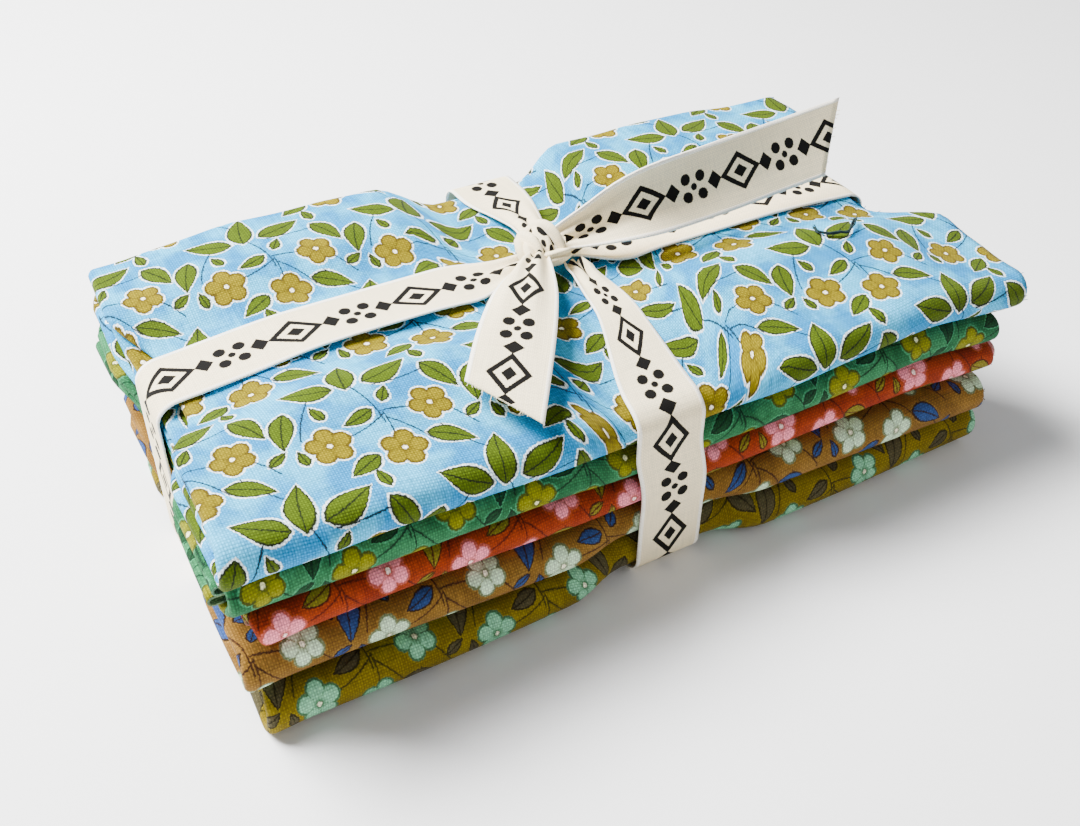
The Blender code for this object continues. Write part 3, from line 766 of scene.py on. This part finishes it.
def tape_cotton(name, ground, ink, weave, printed):
    """Woven cotton tape, bleached: matt, with two firm woven edges, drawn whiter, which also paints the
    highlight that the curled edges catch; painted shade where the threads dip; a stamped row of lozenges and
    dots on its right side."""
    material, tree, shader = matt_material(name, 0.85, 0.12, 0.02)
    flat = add(tree, "ShaderNodeUVMap", uv_map="flat cloth")
    place = add(tree, VECTOR, {0: flat, 1: (1000.0, 1000.0, 0.0)}, operation="MULTIPLY")
    threads = add(tree, "ShaderNodeGroup", {0: place, 1: TAPE_PITCH}, node_tree=weave).node.outputs
    split = add(tree, "ShaderNodeSeparateXYZ", {0: place}).node.outputs
    across = add(tree, MATH, {0: split["Y"]}, operation="ABSOLUTE")
    colour = ground
    if printed:
        marks = []

        def mark_at(along_from, period=33.0):
            """The distance along the tape from the nearest mark of a kind."""
            along = add(tree, MATH, {0: split["X"], 1: along_from}, operation="SUBTRACT")
            along = add(tree, MATH, {0: along, 1: period / 2.0, 2: -period / 2.0}, operation="WRAP")
            return add(tree, MATH, {0: along}, operation="ABSOLUTE")

        along = mark_at(0.0)
        tip = add(tree, MATH, {0: along, 1: 0.75, 2: across}, operation="MULTIPLY_ADD")
        outer = add(tree, MATH, {0: tip, 1: 4.6}, operation="SUBTRACT")
        outer = add(tree, MATH, {0: outer}, operation="ABSOLUTE")
        marks.append(add(tree, MATH, {0: outer, 1: 0.9}, operation="SUBTRACT"))
        marks.append(add(tree, MATH, {0: tip, 1: 1.9}, operation="SUBTRACT"))
        for along_from in (-9.4, 9.4):
            tip = add(tree, MATH, {0: mark_at(along_from), 1: 1.1, 2: across}, operation="MULTIPLY_ADD")
            marks.append(add(tree, MATH, {0: tip, 1: 2.7}, operation="SUBTRACT"))
        quarter = add(tree, "ShaderNodeCombineXYZ", {"X": mark_at(16.5), "Y": across})
        for middle, radius in (((2.5, 2.5, 0.0), 1.6), ((0.0, 0.0, 0.0), 1.0)):
            dot = add(tree, VECTOR, {0: quarter, 1: middle}, operation="DISTANCE")
            marks.append(add(tree, MATH, {0: dot, 1: radius}, operation="SUBTRACT"))
        nearest = marks[0]
        for other in marks[1:]:
            nearest = add(tree, MATH, {0: nearest, 1: other}, operation="MINIMUM")
        worn = add(tree, "ShaderNodeTexNoise", {"Vector": place, "Scale": 2.4, "Detail": 1.0},
                   noise_dimensions="2D")
        nearest = add(tree, MATH, {0: worn, 1: 0.35, 2: nearest}, operation="MULTIPLY_ADD")
        mask = add(tree, "ShaderNodeMapRange", {0: nearest, 1: 0.08, 2: 0.28, 3: 1.0, 4: 0.0})
        colour = add(tree, MIX, {0: mask, 6: ground, 7: ink}, data_type="RGBA")
    # the whiter edges: partly the firm woven edges, partly a painted highlight where the curled edges catch
    # the light
    edge = add(tree, "ShaderNodeMapRange", {0: across, 1: 8.5, 2: 9.0}, interpolation_type="SMOOTHSTEP")
    colour = add(tree, MIX, {0: edge, 6: colour, 7: (*linear(TAPE_EDGE_AND_HIGHLIGHT), 1.0)}, data_type="RGBA")
    # painted shade: the colour darkens where the threads dip, together with the yarn's uneven tone
    thread_shade_and_tone = add(tree, MATH, {0: threads["Tint"], 1: 0.4, 2: 0.6}, operation="MULTIPLY_ADD")
    colour_with_thread_shade = add(tree, MIX, {0: 1.0, 6: colour, 7: thread_shade_and_tone}, data_type="RGBA", blend_type="MULTIPLY")
    tree.links.new(colour_with_thread_shade, shader.inputs["Base Color"])
    height = add(tree, MATH, {0: edge, 1: 1.2, 2: threads["Height"]}, operation="MULTIPLY_ADD")
    bump = add(tree, "ShaderNodeBump", {"Strength": 0.5, "Distance": 0.0001, "Height": height})
    tree.links.new(bump, shader.inputs["Normal"])
    return material


def arc(centre, radius, start, stop, steps):
    """Points round part of a circle, with both ends."""
    angles = [blend(start, stop, step / steps) for step in range(steps + 1)]
    return [(centre[0] + radius * math.cos(a), centre[1] + radius * math.sin(a)) for a in angles]


def band_route(low, high, step, knot_low, knot_high, bottom):
    """The way of a band round the even stack, seen from the side, from knot to knot."""
    top = STACK_TOP + TAPE_OUT
    radius = HOLD_ROUND + TAPE_OUT
    quarter = math.pi / 2.0
    low_centre, high_centre = low + HOLD_ROUND, high - HOLD_ROUND
    shoulder = top - radius
    foot = 0.3 * MM
    route = [(place, top) for place in spread(knot_low, low_centre, step)[:-1]]
    route += arc((low_centre, shoulder), radius, quarter, 2.0 * quarter, 8)
    route += [(low - TAPE_OUT, z) for z in spread(shoulder, foot + radius, step)[1:-1]]
    route += arc((low_centre, foot + radius), radius, 2.0 * quarter, 3.0 * quarter, 8)
    route += [(place, foot + bottom(place)) for place in spread(low_centre, high_centre, step)[1:-1]]
    route += arc((high_centre, foot + radius), radius, 3.0 * quarter, 4.0 * quarter, 8)
    route += [(high + TAPE_OUT, z) for z in spread(foot + radius, shoulder, step)[1:-1]]
    route += arc((high_centre, shoulder), radius, 0.0, quarter, 8)
    return route + [(place, top) for place in spread(high_centre, knot_high, step)[1:]]


def gathered(distance):
    """1 where the tape goes into the knot, 0 where it lies at its full width."""
    return 1.0 - smooth(GATHER_START, GATHER_STOP, distance)


def settled_tape(x, y, z):
    """A point of the tape: it presses the cloth above and lies flat on the ground below."""
    y -= BACK_LEAN * (1.0 - z / STACK_TOP) * smooth(40.0 * MM, 55.0 * MM, y) * (abs(x) < 30.0 * MM)
    return Vector((x, y, settle(x, y, z) if z > 2.0 * HOLD_ROUND else z))


SIDES = [index / 20.0 - 0.5 for index in range(21)]


def band_rows(route, place):
    """Rows of a band on its route, with the tape's own length and width as flat place."""
    rows = []
    length = 0.0
    before = None
    for along, z in route:
        points = [place(along, z, side) for side in SIDES]
        if before:
            length += (points[10] - before).length
        before = points[10]
        rows.append([(point, (length, side * TAPE_WIDTH)) for point, side in zip(points, SIDES)])
    return rows


def pleats(side, depth, seed):
    """How far the gathered tape folds up at a share of its width."""
    return depth * math.cos(2.0 * math.pi * 2.4 * side + seed)


def long_band():
    """The band that runs the long way, and passes over the other one under the stack."""

    def bottom(x):
        return CROSSING * (1.0 - smooth(PRESS_HALF, PRESS_HALF + 6.0 * MM, abs(x - CROSS_X)))

    def place(x, z, side):
        on_top = z > STACK_TOP
        share = gathered(abs(x - KNOT_X)) * on_top
        middle = LONG_Y + LONG_SWAY * smooth(70.0 * MM, 108.0 * MM, abs(x))
        y = middle + side * blend(TAPE_WIDTH, LONG_GATHERED, share)
        rise = KNOT_RISE * share + pleats(side, 0.9 * MM * share, 0.6)
        if on_top and side < 0.0:
            lifted = smooth(-86.0 * MM, -60.0 * MM, x) * (1.0 - smooth(-40.0 * MM, -16.0 * MM, x))
            rise += EDGE_LIFT * side * side * lifted
        return settled_tape(x, y, z + rise)

    route = band_route(HOLD_LEFT, HOLD_RIGHT, 2.5 * MM, -5.0 * MM, 4.0 * MM, bottom)
    return band_rows(route, place)


def cross_band():
    """The band that runs the short way, flat on the ground under the stack."""

    def bottom(_):
        return 0.0

    def place(y, z, side):
        on_top = z > STACK_TOP
        before_knot = y < LONG_Y
        distance = abs(y - LONG_Y) * (BACK_GATHER if y > LONG_Y else 1.0)
        share = gathered(distance) * on_top
        upper = smooth(20.0 * MM, 50.0 * MM, z)
        if before_knot:
            front = smooth(5.0 * MM, 55.0 * MM, -y) * upper
            sway = SWAY_BEFORE_KNOT * (1.0 - front) * upper + SWAY_FRONT * front
        else:
            back = smooth(12.0 * MM, 30.0 * MM, y) * upper
            sway = SWAY_BEHIND_KNOT * (1.0 - back) * upper + SWAY_BACK * back
        narrow = NARROWED * smooth(50.0 * MM, 12.0 * MM, abs(y)) * (y < 0.0) * on_top
        width = blend(TAPE_WIDTH * (1.0 - narrow), CROSS_GATHERED, share)
        rise = KNOT_RISE * share + pleats(side, 0.8 * MM * share, 2.0)
        return settled_tape(CROSS_X + sway + side * width, y, z + rise)

    route = band_route(HOLD_FRONT, HOLD_BACK, 2.5 * MM, 4.0 * MM, 16.0 * MM, bottom)
    return band_rows(route, place)


def refined(sections, steps):
    """Sections on a smooth curve through the given ones."""
    sections = [Section(*row) for row in sections]
    result = []
    count = len(sections)
    for index in range(count - 1):
        four = [sections[min(max(index + shift, 0), count - 1)] for shift in (-1, 0, 1, 2)]
        for step in range(steps + (index == count - 2)):
            t = step / steps
            values = []
            for a, b, c, d in zip(*four):
                value = 2.0 * b + (c - a) * t + (2.0 * a - 5.0 * b + 4.0 * c - d) * t * t
                values.append(0.5 * (value + (3.0 * b - a - 3.0 * c + d) * t ** 3))
            result.append(Section(*values))
    return result


def strip_rows(sections, across_axis, cut, start_length):
    """Rows of a loose stretch of tape through its sections."""
    sections = refined(sections, 6)
    rows = []
    length = start_length
    for index, section in enumerate(sections):
        before = sections[max(index - 1, 0)]
        after = sections[min(index + 1, len(sections) - 1)]
        ahead = Vector((after.x - before.x, after.y - before.y, after.z - before.z)).normalized()
        if across_axis is None:
            level = ahead.cross(Vector((0.0, 0.0, 1.0))).normalized()
            upright = level.cross(ahead)
            lean = math.radians(section.lean)
            across = level * -math.cos(lean) + upright * math.sin(lean)
        else:
            axis = Vector(across_axis)
            across = (axis - ahead * axis.dot(ahead)).normalized()
        hollow = across.cross(ahead)
        middle = Vector((section.x, section.y, section.z)) * MM
        share = smooth(0.7, 1.0, index / (len(sections) - 1))
        row = []
        for side in SIDES:
            depth = section.cup * MM * (4.0 * side * side - 0.5)
            depth += pleats(side, section.pleat * MM, 1.0)
            depth -= section.fold * MM * (abs(side + 0.17) - 0.33)
            slant = cut * share * side
            point = middle + across * section.width * MM * side + hollow * depth + ahead * slant
            row.append((point, (length + slant, side * TAPE_WIDTH)))
        rows.append(row)
        if index + 1 < len(sections):
            step = Vector((after.x - section.x, after.y - section.y, after.z - section.z)) * MM
            length += step.length
    return rows


def join_sheets(pieces):
    """The first of several pieces, with the others' meshes in its own."""
    mesh = bmesh.new()
    for piece in pieces:
        mesh.from_mesh(piece.data)
    mesh.to_mesh(pieces[0].data)
    mesh.free()
    for piece in pieces[1:]:
        bpy.data.objects.remove(piece)
    return pieces[0]


def thread_piece(name, threads, radius, material):
    """Loose threads, each a thin tube through its points, as one mesh."""
    curve = bpy.data.curves.new(name, "CURVE")
    curve.dimensions = "3D"
    curve.bevel_depth = radius
    curve.bevel_resolution = 0
    curve.use_fill_caps = True
    for points in threads:
        for point in points:
            point.z = max(point.z, LOWEST_THREAD)
        spline = curve.splines.new("POLY")
        spline.points.add(len(points) - 1)
        for place, point in zip(spline.points, points):
            place.co = (*(point - MIDDLE), 1.0)
    lines = bpy.data.objects.new(name + "_lines", curve)
    bpy.context.scene.collection.objects.link(lines)
    graph = bpy.context.evaluated_depsgraph_get()
    data = bpy.data.meshes.new_from_object(lines.evaluated_get(graph))
    bpy.data.objects.remove(lines)
    data.materials.clear()
    data.materials.append(material)
    piece = bpy.data.objects.new(name, data)
    bpy.context.scene.collection.objects.link(piece)
    return piece


def frayed(source, ahead, chance, longest):
    """Short threads that stand out of a raw edge; ahead points away from the cloth."""
    threads = []
    for point in source:
        if chance.random() > 0.55:
            continue
        start = point - ahead * 0.3 * MM
        way = ahead + Vector([chance.uniform(-0.5, 0.5) for _ in range(3)])
        length = chance.uniform(0.3, 1.0) * longest
        bend = Vector([chance.uniform(-0.5, 0.5) for _ in range(3)])
        threads.append([start + (way + bend * share) * length * share for share in (0.0, 0.35, 0.7, 1.0)])
    return threads


def thread_cotton(name, colour):
    """Spun cotton yarn pulled from the raw edge: matt, the colour of the cloth's ground."""
    material, tree, shader = matt_material(name, 0.9, 0.5)
    place = add(tree, "ShaderNodeTexCoord").node.outputs["Object"]
    spun = add(tree, "ShaderNodeTexNoise", {"Vector": place, "Scale": 900.0})
    dark = (*[part * 0.7 for part in colour[:3]], 1.0)
    tone = add(tree, MIX, {0: spun, 6: dark, 7: colour}, data_type="RGBA")
    tree.links.new(tone, shader.inputs["Base Color"])
    return material


def over_cloth(x, y):
    """A point in millimetres that lies on top of the top cloth."""
    x, y = x * MM, y * MM
    return Vector((x, y, settle(x, y, STACK_TOP) - creased(x, y) + 0.25 * MM))


class BundleCloth(bpy.types.PropertyGroup):
    """Sizes of the folded cloths and the ground colours of their print."""

    thickness: FloatProperty(
        name="Cloth thickness", description="Thickness of one leaf of cloth with its nap",
        default=0.6 * MM, min=0.2 * MM, max=0.9 * MM, precision=5, unit="LENGTH")
    spacing: FloatProperty(
        name="Mesh spacing", description="Distance between the points of the cloth",
        default=3.0 * MM, min=2.0 * MM, max=8.0 * MM, precision=5, unit="LENGTH")


for cloth in CLOTHS:
    BundleCloth.__annotations__[cloth.name] = FloatVectorProperty(
        name=cloth.name.capitalize() + " ground", description="Ground colour of the " + cloth.name + " cloth",
        subtype="COLOR", default=linear(COLOURWAYS[cloth.name].ground))


class BundleTape(bpy.types.PropertyGroup):
    """Size and colours of the tape."""

    thickness: FloatProperty(
        name="Tape thickness", description="Thickness of the woven tape",
        default=0.5 * MM, min=0.2 * MM, max=0.8 * MM, precision=5, unit="LENGTH")
    ground: FloatVectorProperty(
        name="Tape", description="Colour of the bleached cotton", subtype="COLOR",
        default=linear(TAPE_GROUND))
    ink: FloatVectorProperty(
        name="Ink", description="Colour of the stamped ornament", subtype="COLOR",
        default=linear(TAPE_INK))


class BundleStage(bpy.types.PropertyGroup):
    """Floor, light and camera."""

    floor: FloatVectorProperty(
        name="Floor", description="Colour of the plain floor", subtype="COLOR",
        default=(0.92, 0.92, 0.92))
    key_power: FloatProperty(
        name="Key light", description="Power of the large light over the bundle",
        default=54.0, min=0.0, unit="POWER")
    surround: FloatProperty(
        name="Surround", description="Strength of the even light all round", default=0.32, min=0.0)
    lens: FloatProperty(
        name="Lens", description="Focal length of the camera", default=LENS, min=10.0, max=200.0)


class BUNDLE_OT_cloths(bpy.types.Operator):
    """Build the five folded fat quarters and the threads of their raw ends"""

    bl_idname = "bundle.cloths"
    bl_label = "Folded cloths"

    def execute(self, context):
        settings = context.scene.bundle_cloth
        groups = {"print": sprig_print(), "weave": plain_weave()}
        base = 0.0
        for index, cloth in enumerate(CLOTHS):
            colours = COLOURWAYS[cloth.name]
            ground = (*getattr(settings, cloth.name), 1.0)
            name = "folded_cotton_" + cloth.name
            rows = cloth_rows(cloth, base, settings.spacing)
            piece = sheet_object(name, rows, settings.thickness)
            shift = 23.0 * cloth.seed
            if cloth is not CLOTHS[-1]:   # flowers lie on the front fold
                middle = len(rows[0]) // 3
                fold = min((row[middle] for row in rows), key=lambda item: item[0].y)
                shift = fold[1][1] / MM - 7.0
            offset = (17.0 * cloth.seed, shift, 0.0)
            for label, wrong_side in (("right side", False), ("wrong side", True)):
                title = cloth.name + " printed cotton, " + label
                material = printed_cotton(title, colours, ground, groups, offset, wrong_side)
                piece.data.materials.append(material)
            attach(piece, "root")
            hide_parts("fat_quarter_" + cloth.name)
            self.fray(cloth, rows, ground, index)
            base += cloth.rise * MM
        chance = random.Random(5)
        strands = []
        for _ in range(LOOSE_STRANDS):
            strand = [over_cloth(*place) for place in LOOSE_THREAD]
            for index, point in enumerate(strand):
                stray = [chance.uniform(-LOOSE_SPREAD, LOOSE_SPREAD) for _ in range(3)]
                point += Vector(stray) * MM
                point.z += (LOOSE_SPREAD + 0.02 * index * index) * MM
            strands.append(strand[chance.randint(0, 1):len(strand) - chance.randint(0, 2)])
        material = thread_cotton("dark teal cotton thread", (*linear("06282A"), 1.0))
        loose = thread_piece("loose_thread", strands, LOOSE_RADIUS, material)
        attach(loose, "root")
        return {"FINISHED"}

    def fray(self, cloth, rows, ground, seed):
        """Threads along the cut right ends."""
        chance = random.Random(seed)
        threads = []
        for row in rows:
            ends = [end for end in (row[0][0], row[-1][0]) if abs(end.y - LONG_Y) > BAND_CLEAR]
            threads += frayed(ends, Vector((1.0, 0.0, 0.0)), chance, RAW_LENGTH)
        material = thread_cotton(cloth.name + " cotton thread", ground)
        piece = thread_piece("raw_end_threads_" + cloth.name, threads, RAW_RADIUS, material)
        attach(piece, "root")


class BUNDLE_OT_tape(bpy.types.Operator):
    """Build the tape: its two bands, the knot, the two free ends and the threads at their cuts"""

    bl_idname = "bundle.tape"
    bl_label = "Tied tape"

    def execute(self, context):
        settings = context.scene.bundle_tape
        ground = (*settings.ground, 1.0)
        ink = (*settings.ink, 1.0)
        tails = {
            "tail_right": strip_rows(TAIL_RIGHT, None, TAIL_CUT_RIGHT, 0.006),
            "tail_front": strip_rows(TAIL_FRONT, None, TAIL_CUT_FRONT, 0.012),
        }
        stretches = {"cotton_tape": long_band(), "cross_band": cross_band()}
        stretches.update(tails)
        for turn in KNOT_TURNS:
            stretches["knot_" + turn.name] = strip_rows(turn.sections, turn.across, 0.0, 0.004)
        plain_side_out = ("knot_strap", "knot_roll", "knot_left", "knot_left_low")
        parts = [sheet_object(name, rows, settings.thickness,
                              reverse=name != "cotton_tape" and name not in plain_side_out)
                 for name, rows in stretches.items()]
        piece = join_sheets(parts)
        weave = bpy.data.node_groups["plain weave"]
        piece.data.materials.append(tape_cotton("cotton tape, printed side", ground, ink, weave, True))
        piece.data.materials.append(tape_cotton("cotton tape, plain side", ground, ink, weave, False))
        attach(piece, "root")
        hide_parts("ribbon")
        chance = random.Random(11)
        threads = []
        for rows in tails.values():
            last = [item[0] for item in rows[-1]]
            ahead = (last[10] - rows[-2][10][0]).normalized()
            edge = [last[index].lerp(last[index + 1], share) for index in range(20) for share in (0.0, 0.5)]
            threads += frayed(edge, ahead, chance, TAPE_THREAD_LENGTH)
        material = thread_cotton("tape thread", ground)
        fray = thread_piece("tape_end_threads", threads, TAPE_THREAD_RADIUS, material)
        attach(fray, "root")
        return {"FINISHED"}


class BUNDLE_OT_stage(bpy.types.Operator):
    """Set up the plain floor, the soft light and the camera"""

    bl_idname = "bundle.stage"
    bl_label = "Floor, light and camera"

    def execute(self, context):
        settings = context.scene.bundle_stage
        mesh = bmesh.new()
        bmesh.ops.create_grid(mesh, x_segments=1, y_segments=1, size=3.0)
        bmesh.ops.translate(mesh, verts=mesh.verts, vec=(0.0, 0.0, -0.05 * MM))
        data = bpy.data.meshes.new("floor")
        mesh.to_mesh(data)
        mesh.free()
        floor = bpy.data.objects.new("floor", data)
        context.scene.collection.objects.link(floor)
        material, _, shader = matt_material("matt white card", 0.95, 0.1)
        shader.inputs["Base Color"].default_value = (*settings.floor, 1.0)
        floor.data.materials.append(material)

        world = bpy.data.worlds.new("soft surround")
        world.use_nodes = True
        background = world.node_tree.nodes["Background"]
        background.inputs["Color"].default_value = (1.0, 1.0, 1.0, 1.0)
        background.inputs["Strength"].default_value = settings.surround
        context.scene.world = world

        self.light(context, "key", (-0.42, 0.4, 0.8), 0.5, settings.key_power)
        self.light(context, "fill", (0.4, -0.8, 0.6), 0.8, settings.key_power * 0.04)
        self.camera(context, settings)
        return {"FINISHED"}

    def light(self, context, name, place, size, power):
        """A large soft light that looks at the bundle."""
        data = bpy.data.lights.new(name, "AREA")
        data.energy = power
        data.size = size
        lamp = bpy.data.objects.new(name, data)
        lamp.location = place
        lamp.rotation_euler = Vector(place).to_track_quat("Z", "Y").to_euler()
        context.scene.collection.objects.link(lamp)

    def camera(self, context, settings):
        """The camera at the photograph's view."""
        data = bpy.data.cameras.new("camera")
        data.sensor_width = SENSOR_WIDTH
        data.lens = settings.lens
        data.clip_start = 0.01
        azimuth, elevation, roll = (
            math.radians(angle) for angle in (CAMERA_AZIMUTH, CAMERA_ELEVATION, CAMERA_ROLL))
        back = Vector((
            math.sin(azimuth) * math.cos(elevation),
            -math.cos(azimuth) * math.cos(elevation),
            math.sin(elevation)))
        right = Vector((0.0, 0.0, 1.0)).cross(back).normalized()
        up = back.cross(right)
        across = right * math.cos(roll) + up * math.sin(roll)
        upward = up * math.cos(roll) - right * math.sin(roll)
        eye = CAMERA_TARGET - MIDDLE + back * CAMERA_DISTANCE
        camera = bpy.data.objects.new("camera", data)
        camera.matrix_world = Matrix.Translation(eye) @ Matrix((across, upward, back)).transposed().to_4x4()
        context.scene.collection.objects.link(camera)
        context.scene.camera = camera


class BUNDLE_PT_panel(bpy.types.Panel):
    """Sizes, colours and steps of the bundle"""

    bl_idname = "BUNDLE_PT_panel"
    bl_label = "Fat quarter bundle"
    bl_space_type = "VIEW_3D"
    bl_region_type = "UI"
    bl_category = "Bundle"

    def draw(self, context):
        groups = (
            (context.scene.bundle_stage, "bundle.stage"),
            (context.scene.bundle_cloth, "bundle.cloths"),
            (context.scene.bundle_tape, "bundle.tape"),
        )
        for settings, operator in groups:
            box = self.layout.box()
            for name in settings.__annotations__:
                box.prop(settings, name)
            box.operator(operator)


CLASSES = (
    BundleCloth, BundleTape, BundleStage,
    BUNDLE_OT_stage, BUNDLE_OT_cloths, BUNDLE_OT_tape, BUNDLE_PT_panel,
)


def register():
    for item in CLASSES:
        bpy.utils.register_class(item)
    bpy.types.Scene.bundle_cloth = PointerProperty(type=BundleCloth)
    bpy.types.Scene.bundle_tape = PointerProperty(type=BundleTape)
    bpy.types.Scene.bundle_stage = PointerProperty(type=BundleStage)


def unregister():
    del bpy.types.Scene.bundle_stage
    del bpy.types.Scene.bundle_tape
    del bpy.types.Scene.bundle_cloth
    for item in reversed(CLASSES):
        bpy.utils.unregister_class(item)


def main():
    register()
    bpy.ops.bundle.stage()
    bpy.ops.bundle.cloths()
    bpy.ops.bundle.tape()


if __name__ == "__main__":
    main()
